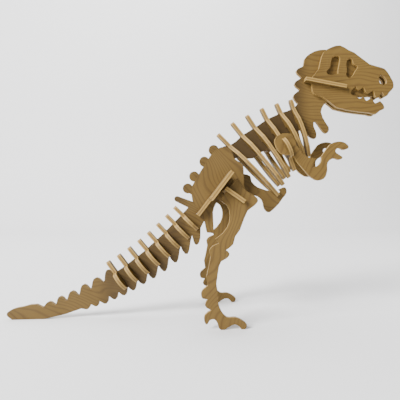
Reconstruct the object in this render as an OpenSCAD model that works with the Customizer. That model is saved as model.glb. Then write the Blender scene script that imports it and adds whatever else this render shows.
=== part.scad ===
// Tyrannosaurus skeleton puzzle: flat plywood pieces held together by crossed slots.
// The animal looks along +X, its right side is towards -Y and it stands on z = 0.

/* [Whole model] */
// Length from the tip of the tail to the nose
model_length = 309.5; // [240:0.5:400]
// Thickness of the plywood sheet
ply = 3; // [2.4:0.1:3.6]
// How much wider every slot is than the plywood
slot_gap = 0.2; // [0.1:0.05:0.4]

/* [Spacing across the animal] */
// From the middle of one leg to the middle of the other
leg_spacing = 74; // [60:1:90]
// From the middle of one hip plate to the middle of the other
hip_spacing = 18; // [15:1:22]
// From the middle of one arm to the middle of the other
arm_spacing = 36; // [30:1:44]
// Gap between the neck and the side of the skull beside it
skull_gap = 0.2; // [0.1:0.1:3]
// How far the bar through the head stands out past the middle of each skull side
head_overhang = 5; // [3:0.5:8]

/* [Cross pieces] */
// Width of the widest body rib
rib_width = 26; // [20:1:31]
// Width of the strip that a body rib's arms are cut to
rib_arm = 4.2; // [3:0.1:5.5]
// Width of the finger that stands above the backbone on each cross piece
finger_width = 5; // [3:0.5:7]
// Width of the tail ribs
tail_rib_width = 17; // [14:1:21]
// How far the hip cross pieces stand out past the legs
bar_overhang = 7.5; // [3:0.5:10]

/* [Arms] */
// How much higher the left arm is held than the right
arm_lift = 5.5; // [0:0.5:7]

/* [Hidden] */
// The outlines below are drawn for a length of 309.5 and scaled by k
k = model_length / 309.5;
slot_w = ply + slot_gap;
skull_spacing = 2 * (ply + skull_gap);
// Small gap at the bottom of a slot, so that two seated pieces never share a face
seat = 0.05;
// Moves the outlines along, so that the middle of the length is at x = 0
middle = 1.23 * k;
// How far the cut for an open slot starts outside the edge it opens on
outside = 8;

// ---------------------------------------------------------------- outlines
// A closed outline through the points p. A point [x, y, 1] is a sharp corner; the outline
// runs smoothly through all others, along the circle through each point and its neighbours.
function unit(v) = v / norm(v);
function at(p, i) = let (q = p[(i + len(p)) % len(p)]) [q[0], q[1]];
function sharp(p, i) = len(p[i % len(p)]) > 2;
function heading(p, i) = let (a = at(p, i) - at(p, i - 1), b = at(p, i + 1) - at(p, i))
  unit(unit(a) * norm(b) + unit(b) * norm(a));
function bend(u, v) = acos(min(1, max(-1, u * v)));
function span(p, i) = let (
    a = at(p, i), b = at(p, i + 1), d = b - a,
    u = sharp(p, i) ? unit(d) : heading(p, i),
    v = sharp(p, i + 1) ? unit(d) : heading(p, i + 1),
    n = max(1, min(5, ceil((bend(u, unit(d)) + bend(unit(d), v)) / 18))))
  [for (j = [0 : n - 1]) let (t = j / n, s = 1 - t)
    s * s * (1 + 2 * t) * a + t * t * (3 - 2 * t) * b + t * s * norm(d) * (s * u - t * v)];
function smooth(p) = [for (i = [0 : len(p) - 1]) each span(p, i)];

module outline(p) { scale([k, k]) polygon(smooth(p)); }

// A slot of the ply's width, from the point p for a given length in the direction a
module slot(p, a, length) {
  translate(k * p) rotate(a) translate([0, -slot_w / 2]) square([length, slot_w]);
}

// The slot in a centre plate for the cross piece r, [x, z, lean], cut down from the top edge
module top_slot(r, depth) {
  slot([r[0], r[1]] + outside * [-sin(r[2]), cos(r[2])] / k, r[2] - 90, outside + k * depth);
}

// A plate that stands along the animal, its middle at y
module along(y) {
  translate([middle, y + ply / 2, 0]) rotate([90, 0, 0]) linear_extrude(ply) children();
}

// A plate that stands across the animal. It passes through the point p and its upward
// direction leans back by a degrees; its outline is drawn as [across, up] around p.
module across(p, a) {
  translate([middle + k * p[0], 0, k * p[1]]) rotate([0, -a, 0]) rotate([90, 0, 90])
    translate([0, 0, -ply / 2]) linear_extrude(ply) children();
}

// ---------------------------------------------------------------- places of the cross pieces
// Body ribs, hips first: [x, z where it crosses the top of the backbone, lean in degrees,
// finger above the backbone, length below it]
ribs = [
  [16, 136.5, 45, 13, 57], [26.5, 145, 39, 13, 52], [37, 151.5, 33.5, 12, 49],
  [47, 158.5, 26.5, 10, 47.5], [58.5, 164, 25, 8.5, 42], [69, 168, 16.5, 7.5, 42]
];
// Tail ribs, hips first: [x, z where it crosses the top of the tail, lean in degrees]
tail_ribs = [
  [-22, 81, 46], [-28.6, 74.4, 44.4], [-35.8, 67.4, 42.8], [-43.2, 60.6, 41.2],
  [-50.8, 54.3, 39.6], [-58.8, 48.2, 38], [-67, 42.4, 36.4], [-75.4, 37, 34.8]
];
// Depth of the backbone's slot for a body rib, and of the tail's slot for a tail rib
rib_seat = 7;
tail_seat = 8;
// How far below the top of the backbone the arms sit in the fourth rib
arm_seat = 24.45;
// The hip cross pieces: [x, z] of one end, direction in degrees, length
long_bar = [[14.5, 112], 233, 39.5];
long_bar_wide = 24.5;
short_bar = [[8.6, 101.4], -35, 18.4];
head_bar_line = [[77.9, 190.8], -9, 34.5];

// ---------------------------------------------------------------- centre plates
// Round tongue that locks the tail plate into the spine plate behind the hip plates
module seam_tongue() {
  scale([k, k]) {
    translate([16, 127.5]) circle(r = 3, $fn = 48);
    translate([11, 126.2]) square([4, 2.6]);
  }
}

spine_outline = [
  [12, 136.2, 1], [16, 136.5], [26.5, 145], [37, 151.5], [47, 158.5], [58.5, 164], [69, 168],
  [73, 172, 1], [69, 177.5], [74.5, 183.5, 1], [70, 188], [76, 193.5, 1], [71.5, 199],
  [77.5, 203, 1], [78.5, 209], [83, 213.5], [91.5, 217], [100, 217], [111, 213],
  [121, 206.5], [131, 198], [138, 188], [139.5, 183], [137, 179.6, 1], [118, 178.8], [104, 177], [96, 173],
  [92.5, 165.5], [96, 157.5], [99.3, 151], [97, 148], [94, 149.5], [90, 155], [86.8, 157.5],
  [86.2, 154], [88.5, 148], [87.5, 143.5], [84.5, 144], [76.5, 150.5], [66, 144], [58, 137],
  [49.5, 132], [44, 132.5], [36, 126.8], [22, 127], [12, 121.5, 1]
];

module spine_plate() {
  color("tan") along(0) difference() {
    outline(spine_outline);
    seam_tongue();
    for (r = ribs) top_slot(r, rib_seat);
    slot(head_bar_line[0], head_bar_line[1], k * head_bar_line[2]);
  }
}

tail_outline = [
  [12, 136.2, 1], [6, 132.5], [0, 125.5], [-6, 116], [-11, 106], [-13, 98], [-12.5, 92, 1],
  [-17, 86.5], [-22, 81], [-36.5, 66], [-51.5, 52], [-67.5, 39.7], [-73, 36],
  [-75, 33, 1], [-79.5, 37.5], [-83, 27.5, 1], [-89, 31.5], [-93, 22, 1], [-98, 26.5],
  [-102, 17.3, 1], [-107, 21.5], [-111.5, 13.5, 1], [-116, 17.5], [-119.5, 10.5, 1],
  [-124.5, 13.5], [-129, 9, 1], [-134, 11.5], [-144, 9.8], [-152, 8], [-156, 4.5], [-152, 0, 1],
  [-128, 0, 1], [-112, 3.5], [-100, 7.5, 1], [-95, 7], [-93, 10.8, 1], [-88, 9], [-86.5, 13.2, 1],
  [-81, 10.8], [-79.3, 17, 1], [-74, 14], [-72, 20, 1], [-67, 17], [-64.5, 24, 1], [-60.5, 20.7],
  [-57, 29, 1], [-52.5, 25.5], [-49, 34.5, 1], [-45, 30], [-40.5, 40.5, 1], [-36.5, 35.5],
  [-32, 47.5, 1], [-28, 42.5], [-23, 55.5, 1], [-19.5, 49.3], [-14, 64, 1], [-10, 56.5],
  [-7.2, 62], [-7, 70], [-4, 76], [-1, 85], [5, 92.3], [11, 91.5], [16, 87], [22, 85.5], [29, 91], [37, 96.3],
  [43, 92.5], [45.2, 85], [48, 82.5], [52.5, 85], [60.5, 94.5], [63.5, 99], [62, 103],
  [58, 101.7], [52, 99.6], [46.5, 100.5], [39.5, 103], [34.5, 107.5], [33, 112.3],
  [28, 113.8], [19, 114.8], [12, 119, 1]
];

// The round knobs along the back of the hips, each on a short neck, and the longer finger
// under them
module back_knobs() {
  scale([k, k]) {
    for (c = [[3.5, 133], [-4, 123.5], [-12.2, 111.5], [-17.3, 101.8]]) translate(c) {
      circle(r = 4, $fn = 48);
      rotate(-34) translate([0, -2.5]) square([8, 5]);
    }
    translate([-25.8, 93.4]) circle(r = 2.2, $fn = 32);
    polygon([[-26.7, 91.3], [-13, 84.5], [-10, 90], [-25, 95.5]]);
  }
}

module tail_plate() {
  color("tan") along(0) difference() {
    union() {
      outline(tail_outline);
      back_knobs();
      seam_tongue();
    }
    for (r = tail_ribs) top_slot(r, tail_seat);
    bar_slots();
    // Notch in the boot that the hindmost rib drops into
    slot([57.3, 98.5], 135, 8 * k);
  }
}

// The two crossing slots that the hip cross pieces pass through
module bar_slots() {
  slot(long_bar[0], long_bar[1], k * long_bar[2] + seat);
  slot(short_bar[0], short_bar[1], k * short_bar[2] + seat);
}

// ---------------------------------------------------------------- skull
skull_outline = [
  [107.4, 220], [99.8, 218], [93.7, 213.9], [91.2, 207.4], [89.7, 200.3, 1], [84.6, 193.7],
  [83.6, 187.1], [85.6, 179.5], [92.2, 177.5], [98.3, 173.5], [104.3, 168.9], [113.4, 166.9], [123.6, 165.7],
  [132.7, 164.9], [138.2, 164.1], [141.8, 167.2], [145.3, 168.9], [144.3, 172.5], [141.8, 175, 1],
  [140.2, 174.2], [137.7, 173], [135.2, 176.5, 1], [132.7, 176.5], [130.6, 174.8], [127.6, 178.5, 1],
  [124.1, 176.5], [121, 178.5], [117, 180.1], [118, 184.1], [121, 186.6, 1], [123.1, 183.7],
  [127.6, 186.1, 1], [130.6, 181.4], [136.2, 183.6, 1], [139.2, 177.5], [143.3, 182.6, 1],
  [146.8, 179], [149.9, 182.6], [153.4, 186.6], [152.9, 191.7], [149.9, 196.7], [145.8, 201.8],
  [139.7, 203.5], [132.7, 205.3], [126.1, 209.9], [119.5, 214.5], [114.5, 216.5]
];
rear_eye = [
  [103.8, 211.4], [106.9, 210.7], [107.4, 207.9], [105.8, 199.3], [105.9, 196.7, 1], [101.3, 195.2],
  [96.2, 196.9], [99.3, 202.3], [100.3, 208.6]
];
front_eye = [
  [116.5, 209.7], [119.5, 204.8], [122.5, 203.3], [120.5, 199.3], [117.5, 194.4], [115, 193.4],
  [112.6, 196.2], [113.4, 199.8], [112.7, 204.3], [114.2, 208.7]
];
nostril = [[142.2, 196.5], [145.5, 195.2], [147.1, 189.6], [144.2, 188.4], [140.7, 193]];

module skull_side() {
  difference() {
    outline(skull_outline);
    outline(rear_eye);
    outline(front_eye);
    outline(nostril);
    slot(head_bar_line[0], head_bar_line[1], k * head_bar_line[2] + seat);
  }
}
module skull_left() { color("burlywood") along(skull_spacing / 2) skull_side(); }
module skull_right() { color("burlywood") along(-skull_spacing / 2) skull_side(); }

module head_bar() {
  w = skull_spacing / 2 + head_overhang;
  color("wheat") across(head_bar_line[0], head_bar_line[1] - 90)
    translate([-w, seat]) square([2 * w, k * head_bar_line[2] - 2 * seat]);
}

// ---------------------------------------------------------------- body ribs
// Mirrors half an outline, listed from the top middle to the bottom middle
function both_sides(h) = concat(h, [for (i = [len(h) - 1 : -1 : 0])
  len(h[i]) > 2 ? [-h[i][0], h[i][1], 1] : [-h[i][0], h[i][1]]]);

// Half a body rib: finger, shoulder, arm. w is its half width, foot the half width at the end
function rib_half(finger, length, w, foot, gap) = let (f = finger_width / 2 / k, b = rib_arm / k) [
  [f - 1.2, finger, 1], [f, finger - 1.5, 1], [f, 0, 1], [0.35 * w, -3.5], [0.75 * w, -10],
  [w, -0.5 * length], [foot + 0.6 * b, 3 - length], [foot, -length], [gap, 1 - length],
  [foot - 0.6 * b, 6 - length], [w - b, -0.55 * length], [0.85 * w - b, -18], [4, -13],
  [slot_w / 2 / k, -12.5, 1], [slot_w / 2 / k, seat / k - rib_seat, 1]
];

module rib(i, w, foot) {
  r = ribs[i - 1];
  color("wheat") across([r[0], r[1]], r[2])
    outline(both_sides(rib_half(r[3], r[4], w / k, foot, foot - 2)));
}

module rib_1() {
  // The hindmost rib closes in at its ends and straddles the boot of the pubis
  r = ribs[0];
  f = finger_width / 2 / k;
  b = rib_arm / k;
  w = 0.42 * rib_width / k;
  g = slot_w / 2 / k;
  color("wheat") across([r[0], r[1]], r[2]) outline(both_sides([
    [f - 1.2, r[3], 1], [f, r[3] - 1.5, 1], [f, 0, 1], [0.35 * w, -3.5], [0.75 * w, -10],
    [w, -28], [0.8 * w, -44], [5.2, -53], [3.6, -r[4]], [g, -r[4], 1], [g, -51, 1],
    [0.8 * w - b, -42], [w - b, -28], [0.85 * w - b, -18], [4, -13],
    [g, -12.5, 1], [g, seat / k - rib_seat, 1]
  ]));
}
module rib_2() { rib(2, 0.44 * rib_width, 8); }
module rib_3() { rib(3, 0.5 * rib_width, 8); }
module rib_5() { rib(5, 0.5 * rib_width, 7); }
module rib_6() { rib(6, 0.44 * rib_width, 6); }

// The fourth rib spreads into two shoulders, notched on top where the arms sit
module rib_4() {
  r = ribs[3];
  f = finger_width / 2 / k;
  w = rib_width / 2 / k;
  s = (arm_spacing / 2 + 5) / k;
  g = slot_w / 2 / k;
  color("wheat") across([r[0], r[1]], r[2]) difference() {
    outline(both_sides([
      [f - 1.2, r[3], 1], [f, r[3] - 1.5, 1], [f, 0, 1], [0.35 * w, -3.5], [0.75 * w, -10],
      [w, -17], [s - 1.5, -21.5], [s, -23], [s, -34], [s - 1.5, -35.5], [w + 1, -37], [w - 1, -42], [0.65 * w, -r[4]],
      [0.4 * w, -45], [0.6 * w, -38], [0.65 * w, -28], [0.55 * w, -18], [4.5, -13],
      [g, -12.5, 1], [g, seat / k - rib_seat, 1]
    ]));
    for (side = [-1, 1])
      translate([side * arm_spacing / 2 - slot_w / 2, -k * arm_seat - seat])
        square([slot_w, outside * k]);
  }
}

// ---------------------------------------------------------------- arms
arm_outline = [
  [56, 143.8], [63, 143.5, 1], [72, 128], [78, 125], [86, 125.8], [89.5, 130.5], [93.5, 135.8],
  [100, 138.2], [106, 137], [108.5, 134], [104.5, 131.8], [100, 133.2], [97.8, 130.6],
  [101, 127.8], [103.5, 125.5], [101, 124], [96.5, 125], [91.8, 122], [91.2, 115], [88.5, 109],
  [84, 107.6], [76.5, 111.5], [68.5, 120.5], [63, 127.5, 1], [56, 127.5], [51, 133], [50, 139.5]
];
arm_hole = [[87, 126.3, 1], [83, 125], [80.3, 121.5], [80, 117.5, 1], [84, 119.2], [86.5, 122.5]];

// An arm that is cut to sit higher by lift. The slot follows the fourth rib.
module arm(lift) {
  r = ribs[3];
  difference() {
    translate(k * lift * [0.45, 1]) difference() {
      outline(arm_outline);
      outline(arm_hole);
    }
    slot([r[0], r[1]] + (arm_seat - seat / k) * [sin(r[2]), -cos(r[2])], r[2] - 90, 30 * k);
  }
}
module arm_left() { color("burlywood") along(arm_spacing / 2) arm(arm_lift); }
module arm_right() { color("burlywood") along(-arm_spacing / 2) arm(0); }

// ---------------------------------------------------------------- hips
hip_outline = [
  [12, 134.2], [6, 132.7], [0, 126.5], [-8, 113.5], [-13.5, 104], [-14.2, 96], [-12, 88.5],
  [-8.5, 85], [-6, 80], [-3.5, 74], [-2.2, 67, 1], [2, 66.5, 1], [3, 70], [2.5, 83], [5, 90],
  [9, 93.5], [14, 90], [20, 86.5], [26.5, 88], [29, 95], [27, 104], [26.8, 115], [26, 120],
  [22, 123.2], [19.5, 125], [18, 128.5], [16, 132.5]
];

module hip_side() {
  difference() {
    outline(hip_outline);
    bar_slots();
    // The long slot runs on until it opens behind the prong
    slot(long_bar[0], long_bar[1], k * long_bar[2] + 12);
  }
}
module hip_left() { color("burlywood") along(hip_spacing / 2) hip_side(); }
module hip_right() { color("burlywood") along(-hip_spacing / 2) hip_side(); }

module hip_bar_long() {
  w = leg_spacing / 2 + bar_overhang + ply / 2;
  n = hip_spacing / 2 + 6;
  d = k * long_bar_wide;
  l = k * long_bar[2];
  color("wheat") across(long_bar[0], long_bar[1] - 90) polygon([
    [-w, seat], [w, seat], [w, d - 2], [w - 2, d], [n + 2, d], [n, d + 2], [n, l - 2],
    [n - 2, l], [2 - n, l], [-n, l - 2], [-n, d + 2], [-n - 2, d], [2 - w, d], [-w, d - 2]
  ]);
}

module hip_bar_short() {
  w = leg_spacing / 2 + 5;
  color("wheat") across(short_bar[0], short_bar[1] - 90)
    translate([-w, slot_w / 2 + seat]) square([2 * w, k * short_bar[2] - slot_w / 2 - seat]);
}

// ---------------------------------------------------------------- legs
leg_outline = [
  [6, 92, 1], [11, 88.5], [13.3, 81], [11.5, 73], [8, 68.3], [3, 64.5, 1], [5.5, 61.5, 1],
  [1, 59.5], [-1.3, 56.5], [-0.5, 52], [-2, 44], [-3.5, 38], [-2.5, 31.5, 1], [-7.2, 26.5],
  [-6, 22.5], [-2.5, 22, 1], [-4.5, 17.7], [0, 14, 1], [-4.5, 10.7], [-5, 7], [-3.3, 4.2],
  [-1, 7], [2, 7.7], [4.5, 4.5], [5.5, 1.2], [7, 0, 1], [9.5, 0, 1], [13.5, 2.5], [17, 3.5],
  [20, 2], [21.5, 0, 1], [24, 0, 1], [25.5, 2.3], [22.5, 6], [17.5, 8.5], [11, 8.8], [7.5, 12.5],
  [5, 19], [4.5, 27], [3.7, 33], [5, 42], [7, 48.5], [11, 50.7], [13, 54], [10.5, 56.5, 1],
  [15.5, 60.5], [17, 66], [20.5, 71], [23.5, 79], [26, 84.5], [31, 88.3], [33.5, 92],
  [30, 95.8], [22.5, 100.5], [20.8, 105], [18.5, 108, 1]
];

module leg_side() {
  difference() {
    outline(leg_outline);
    // The slot for the short bar opens on the sloping top edge
    slot(short_bar[0], short_bar[1] + 180, 10 * k);
    slot(short_bar[0], short_bar[1], k * short_bar[2] + seat);
  }
}
module leg_left() { color("burlywood") along(leg_spacing / 2) leg_side(); }
module leg_right() { color("burlywood") along(-leg_spacing / 2) leg_side(); }

// ---------------------------------------------------------------- tail ribs
// Every tail rib has the same outline: a finger and two lobes beside the tail
module tail_rib(i) {
  r = tail_ribs[i - 1];
  f = finger_width / 2 / k;
  w = tail_rib_width / 2 / k;
  g = slot_w / 2 / k;
  color("wheat") across([r[0], r[1]], r[2]) outline(both_sides([
    [f - 1.2, 8.5, 1], [f, 7, 1], [f, -2.5, 1], [w - 1.2, -3.2], [w, -5.5], [w, -12],
    [w - 2, -15.5], [g + 1.5, -17.5], [g, -17, 1], [g, seat / k - tail_seat, 1]
  ]));
}
module tail_rib_1() { tail_rib(1); }
module tail_rib_2() { tail_rib(2); }
module tail_rib_3() { tail_rib(3); }
module tail_rib_4() { tail_rib(4); }
module tail_rib_5() { tail_rib(5); }
module tail_rib_6() { tail_rib(6); }
module tail_rib_7() { tail_rib(7); }
module tail_rib_8() { tail_rib(8); }

// ---------------------------------------------------------------- drawing
spine_plate();
tail_plate();
skull_left();
skull_right();
head_bar();
rib_1();
rib_2();
rib_3();
rib_4();
rib_5();
rib_6();
arm_left();
arm_right();
hip_left();
hip_right();
hip_bar_long();
hip_bar_short();
leg_left();
leg_right();
tail_rib_1();
tail_rib_2();
tail_rib_3();
tail_rib_4();
tail_rib_5();
tail_rib_6();
tail_rib_7();
tail_rib_8();
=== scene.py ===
"""A plywood Tyrannosaurus skeleton puzzle, standing on a pale studio floor."""

import math

import bmesh
import bpy
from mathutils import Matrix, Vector

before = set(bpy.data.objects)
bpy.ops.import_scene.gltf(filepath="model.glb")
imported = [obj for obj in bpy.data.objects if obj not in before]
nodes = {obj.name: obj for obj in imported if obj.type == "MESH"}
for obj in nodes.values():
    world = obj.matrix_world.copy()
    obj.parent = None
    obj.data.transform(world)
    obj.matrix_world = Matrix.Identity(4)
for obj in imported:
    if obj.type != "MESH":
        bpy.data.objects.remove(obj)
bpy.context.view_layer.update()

# Camera: close to the model and level with its knees, turned a little towards the head, so
# that the near and far legs and the sides of the cross pieces part as they do in a close view.
camera_data = bpy.data.cameras.new("camera")
camera = bpy.data.objects.new("camera", camera_data)
bpy.context.collection.objects.link(camera)
bpy.context.scene.camera = camera
camera.location = (-0.0098, -0.300, 0.089)
camera.rotation_euler = (math.radians(90), 0, math.radians(-5))
camera_data.sensor_width = 36
camera_data.lens = 33.3
camera_data.shift_x = -0.07
camera_data.shift_y = 0.011
camera_data.clip_start = 0.01

# ---------------------------------------------------------------------------------------
# Centre plates. Two flat pieces of 3 mm birch ply, laser-cut: one runs from the hips along
# the back and neck into the skull, the other from the hips down the tail. A round tongue
# locks them edge to edge, and every cross piece drops into a slot in their edges.

SHEET = 0.003
CORE_HALF = SHEET / 6
BROKEN_EDGE = 0.00014
SAME_POINT = 0.000002
FLATTEST_EDGE = 0.6

VENEER = (0.127, 0.073, 0.0132)
VENEER_DARK = (0.042, 0.020, 0.0035)
# Painted shade: the dark colour the centre plates are mixed towards between the ribs, where the
# ribs' shadow falls
PAINTED_SHADE = (0.040, 0.0212, 0.0038)
EDGE = (0.29, 0.182, 0.050)
EDGE_CORE = (0.185, 0.107, 0.026)

# Growth rings: radians per metre across the grain, which is a ring in about 3 mm, and how
# many radians a ring may wander. SHOWS is how strongly a figure of the wood shows, 0 to 1.
RING_RATE = 2000
RING_WANDER = 80
RING_SHARPNESS = 4.0
RING_SHOWS = 0.62
FIBRE_SHOWS = 0.45
BLOTCH_SHOWS = 0.2
FIBRE_RELIEF = 0.00004


def sheet_normal(node):
    """The direction through the ply, and how far along it the middle of the sheet lies."""
    mesh = nodes[node].data
    areas = {}
    for face in mesh.polygons:
        direction = face.normal
        if tuple(direction) < (0, 0, 0):
            direction = -direction
        key = tuple(round(part, 2) for part in direction)
        total, _ = areas.get(key, (0, None))
        areas[key] = (total + face.area, direction.copy())
    normal = max(areas.values(), key=lambda entry: entry[0])[1]
    heights = [normal.dot(vertex.co) for vertex in mesh.vertices]
    return normal, (min(heights) + max(heights)) / 2


def place_in_board(node):
    """A number from 0 to 10 that differs from piece to piece, so that no two grains match."""
    return 10 * (sum((i + 1) * ord(letter) for i, letter in enumerate(node)) % 97 / 97)


def break_edges(node):
    """The laser's cut leaves the ply's corners very slightly rounded."""
    weld = nodes[node].modifiers.new("weld", "WELD")
    weld.merge_threshold = SAME_POINT
    bevel = nodes[node].modifiers.new("broken_edge", "BEVEL")
    bevel.width = BROKEN_EDGE
    bevel.segments = 2
    bevel.limit_method = "ANGLE"
    bevel.angle_limit = math.radians(40)


def plywood(node, grain, tone, shade_bands=(), shade_share=0):
    """Bare ply for one flat piece: veneer on its two sides, light layered wood on its edges.

    grain is the direction of the wood's fibres in the sheet, in degrees, and tone makes the
    whole piece lighter or darker. The fourth argument lists pairs of places along x where
    painted shade starts and where it is at its darkest, and the fifth says how strong that
    painted shade is: the plate is darkened there to stand in for the shadow the ribs cast on
    it."""
    normal, middle = sheet_normal(node)
    side = Vector((0, 0, 1)).cross(normal)
    if side.length < 0.1:
        side = Vector((1, 0, 0))
    side.normalize()
    up = normal.cross(side)
    turn = math.radians(grain)
    fibre = side * math.cos(turn) + up * math.sin(turn)
    cross = up * math.cos(turn) - side * math.sin(turn)

    material = bpy.data.materials.new("ply_" + node)
    material.use_nodes = True
    tree = material.node_tree
    links = tree.links
    shader = tree.nodes["Principled BSDF"]
    place = tree.nodes.new("ShaderNodeTexCoord")

    def calculate(operation, first, second=None):
        step = tree.nodes.new("ShaderNodeMath")
        step.operation = operation
        for socket, value in zip(step.inputs, (first, second)):
            if value is None:
                continue
            if isinstance(value, (int, float)):
                socket.default_value = value
            else:
                links.new(value, socket)
        return step.outputs[0]

    def length_along(vector, direction):
        product = tree.nodes.new("ShaderNodeVectorMath")
        product.operation = "DOT_PRODUCT"
        links.new(vector, product.inputs[0])
        product.inputs[1].default_value = direction
        return product.outputs["Value"]

    def mix(amount, below, above):
        # A colour mix takes its two colours at inputs 6 and 7 and gives its own at output 2
        blend = tree.nodes.new("ShaderNodeMix")
        blend.data_type = "RGBA"
        links.new(amount, blend.inputs["Factor"])
        for socket, colour in ((blend.inputs[6], below), (blend.inputs[7], above)):
            if isinstance(colour, tuple):
                socket.default_value = (*(tone * part for part in colour), 1)
            else:
                links.new(colour, socket)
        return blend.outputs[2]

    # Position in the sheet: along the fibres, across them, and through the ply
    along = length_along(place.outputs["Object"], fibre)
    across = length_along(place.outputs["Object"], cross)
    height = length_along(place.outputs["Object"], normal)
    through = calculate("SUBTRACT", height, middle)

    def noise(along_scale, across_scale, detail):
        # Clouds, so many to the metre along and across the fibres
        spot = tree.nodes.new("ShaderNodeCombineXYZ")
        links.new(calculate("MULTIPLY", along, along_scale), spot.inputs["X"])
        links.new(calculate("MULTIPLY", across, across_scale), spot.inputs["Y"])
        spot.inputs["Z"].default_value = place_in_board(node)
        cloud = tree.nodes.new("ShaderNodeTexNoise")
        cloud.inputs["Scale"].default_value = 1
        cloud.inputs["Detail"].default_value = detail
        links.new(spot.outputs[0], cloud.inputs["Vector"])
        return cloud.outputs["Fac"]

    # Growth rings cut at a shallow angle: dark lines that wander like the contours of a map
    wander = calculate("MULTIPLY", noise(18, 36, 1.2), RING_WANDER)
    wave = calculate("SINE", calculate("ADD", calculate("MULTIPLY", across, RING_RATE), wander))
    from_0_to_1 = calculate("ADD", calculate("MULTIPLY", wave, 0.5), 0.5)
    ring = calculate("POWER", from_0_to_1, RING_SHARPNESS)
    fibres = noise(90, 1900, 2)
    blotch = noise(25, 60, 2)
    face = mix(calculate("MULTIPLY", ring, RING_SHOWS), VENEER, VENEER_DARK)
    face = mix(calculate("MULTIPLY", fibres, FIBRE_SHOWS), face, VENEER_DARK)
    face = mix(calculate("MULTIPLY", blotch, BLOTCH_SHOWS), face, EDGE)
    # Painted shade: between the ribs the plate is darkened along x, standing in for the shadow
    # the ribs cast on it
    if shade_bands:
        dark = shade_share
        split = tree.nodes.new("ShaderNodeSeparateXYZ")
        links.new(place.outputs["Object"], split.inputs[0])
        for start, full in shade_bands:
            rise = tree.nodes.new("ShaderNodeMapRange")
            rise.interpolation_type = "SMOOTHSTEP"
            rise.inputs["From Min"].default_value = start
            rise.inputs["From Max"].default_value = full
            links.new(split.outputs["X"], rise.inputs["Value"])
            dark = calculate("MULTIPLY", rise.outputs["Result"], dark)
        face = mix(dark, face, PAINTED_SHADE)

    # The cut edge shows a darker core layer between two light ones
    core = calculate("LESS_THAN", calculate("ABSOLUTE", through), CORE_HALF)
    edge = mix(core, EDGE, EDGE_CORE)

    # A face that turns well away from the flat of the sheet is a cut edge
    facing = calculate("ABSOLUTE", length_along(place.outputs["Normal"], normal))
    on_edge = calculate("LESS_THAN", facing, FLATTEST_EDGE)
    links.new(mix(on_edge, face, edge), shader.inputs["Base Color"])
    shader.inputs["Roughness"].default_value = 0.62
    shader.inputs["Specular IOR Level"].default_value = 0.3

    bump = tree.nodes.new("ShaderNodeBump")
    bump.inputs["Distance"].default_value = FIBRE_RELIEF
    bump.inputs["Strength"].default_value = 0.5
    links.new(fibres, bump.inputs["Height"])
    links.new(bump.outputs["Normal"], shader.inputs["Normal"])

    nodes[node].data.materials.clear()
    nodes[node].data.materials.append(material)
    break_edges(node)


# Under the ribs and under the tail ribs both plates are painted darker: painted shade standing
# in for the shadow the ribs cast on them
plywood("spine_plate", 12, 0.94, shade_bands=[(0.086, 0.070)], shade_share=0.9)
plywood("tail_plate", 28, 0.87, shade_bands=[(-0.012, -0.024), (-0.090, -0.076)], shade_share=0.6)

# ---------------------------------------------------------------------------------------
# Skull. Two mirror-image sides of the same ply, with the eye, cheek and nostril openings
# and the teeth cut out, and a plain bar that slides through both of them and the neck.

plywood("skull_left", 8, 1.0)
plywood("skull_right", -6, 1.02)
plywood("head_bar", 0, 1.0)

# ---------------------------------------------------------------------------------------
# Body ribs. Six cross pieces of ply, each a finger over the backbone and two arms beside
# it. The fourth has wide shoulders that carry the arms. Every second one is cut with the
# grain across it.

for number in range(1, 7):
    plywood("rib_%d" % number, 90 * (number % 2), 0.95 + 0.03 * (number % 3))

# ---------------------------------------------------------------------------------------
# Arms. Two flat pieces, each cut with the elbow and the clawed hand in one outline and
# hung on the fourth rib by a slot.

plywood("arm_left", 150, 1.06)
plywood("arm_right", 140, 1.06)

# ---------------------------------------------------------------------------------------
# Hips and legs. Two hip plates lie beside the tail plate, and two cross pieces run through
# all three: the long one is a broad board, and the short one carries the legs on its ends.

plywood("hip_left", 62, 0.93)
plywood("hip_right", 58, 0.93)
plywood("hip_bar_long", 0, 1.05)
plywood("hip_bar_short", 90, 1.0)
plywood("leg_left", 116, 0.97)
plywood("leg_right", 112, 1.0)

# ---------------------------------------------------------------------------------------
# Tail ribs. Eight like cross pieces of ply, each pushed down over the tail by its slot.
# Every second one is cut with the grain across it.

for number in range(1, 9):
    plywood("tail_rib_%d" % number, 90 * (number % 2), 0.96 + 0.02 * (number % 3))

# ---------------------------------------------------------------------------------------
# Studio. A pale paper sweep, level under the model and curved up behind it. One soft light
# stands on the left in front, a small one above lights only the paper behind, and an even
# room light fills the shadows.

PAPER = (0.76, 0.76, 0.765, 1)
SWEEP_FRONT = -3.0
SWEEP_BACK = 0.9
SWEEP_RADIUS = 0.5
SWEEP_SIDE = 4.0
SWEEP_TOP = 4.0

sweep = bmesh.new()


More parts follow.
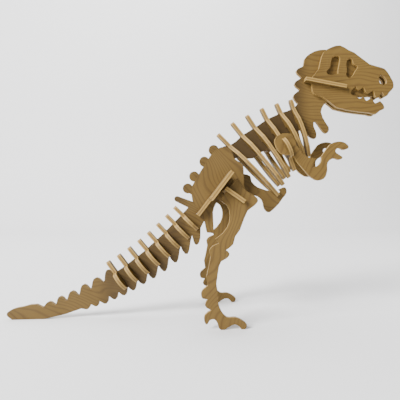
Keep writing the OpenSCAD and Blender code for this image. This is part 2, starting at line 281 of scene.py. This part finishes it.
def draw_paper_on(edges, move):
    """Extrudes the last edge of the paper by a move, and returns the new last edge."""
    made = bmesh.ops.extrude_edge_only(sweep, edges=edges)["geom"]
    ends = [item for item in made if isinstance(item, bmesh.types.BMVert)]
    bmesh.ops.translate(sweep, verts=ends, vec=move)
    lines = [item for item in made if isinstance(item, bmesh.types.BMEdge)]
    return [line for line in lines if all(end in ends for end in line.verts)]


front = [sweep.verts.new((x, SWEEP_FRONT, 0)) for x in (-SWEEP_SIDE, SWEEP_SIDE)]
last_edge = draw_paper_on([sweep.edges.new(front)], (0, SWEEP_BACK - SWEEP_FRONT, 0))
bend = bmesh.ops.spin(
    sweep, geom=[*last_edge[0].verts, *last_edge], cent=(0, SWEEP_BACK, SWEEP_RADIUS),
    axis=(1, 0, 0), angle=math.radians(90), steps=12,
)["geom_last"]
last_edge = [item for item in bend if isinstance(item, bmesh.types.BMEdge)]
draw_paper_on(last_edge, (0, 0, SWEEP_TOP - SWEEP_RADIUS))
for strip in sweep.faces:
    strip.smooth = True
sweep_mesh = bpy.data.meshes.new("paper_sweep")
sweep.to_mesh(sweep_mesh)
sweep.free()
paper_sweep = bpy.data.objects.new("paper_sweep", sweep_mesh)
bpy.context.collection.objects.link(paper_sweep)
paper = bpy.data.materials.new("paper")
paper.use_nodes = True
paper_shader = paper.node_tree.nodes["Principled BSDF"]
paper_shader.inputs["Base Color"].default_value = PAPER
paper_shader.inputs["Roughness"].default_value = 0.9
sweep_mesh.materials.append(paper)


def soft_light(name, place, aim, size, power):
    """A round lamp of a size in metres and a power in watts, turned to a point."""
    light = bpy.data.lights.new(name, "AREA")
    light.shape = "DISK"
    light.size = size
    light.energy = power
    lamp = bpy.data.objects.new(name, light)
    bpy.context.collection.objects.link(lamp)
    lamp.location = place
    lamp.rotation_euler = (Vector(aim) - Vector(place)).to_track_quat("-Z", "Y").to_euler()


soft_light("key", place=(-1.8, -1.3, 1.5), aim=(0.02, 0, 0.1), size=1.4, power=228)
soft_light("backdrop", place=(0, 0.5, 1.7), aim=(0, 1.3, 0.4), size=1.4, power=33)
world = bpy.data.worlds.new("room")
world.use_nodes = True
room_light = world.node_tree.nodes["Background"]
room_light.inputs["Color"].default_value = (1, 1, 1, 1)
room_light.inputs["Strength"].default_value = 0.2
bpy.context.scene.world = world
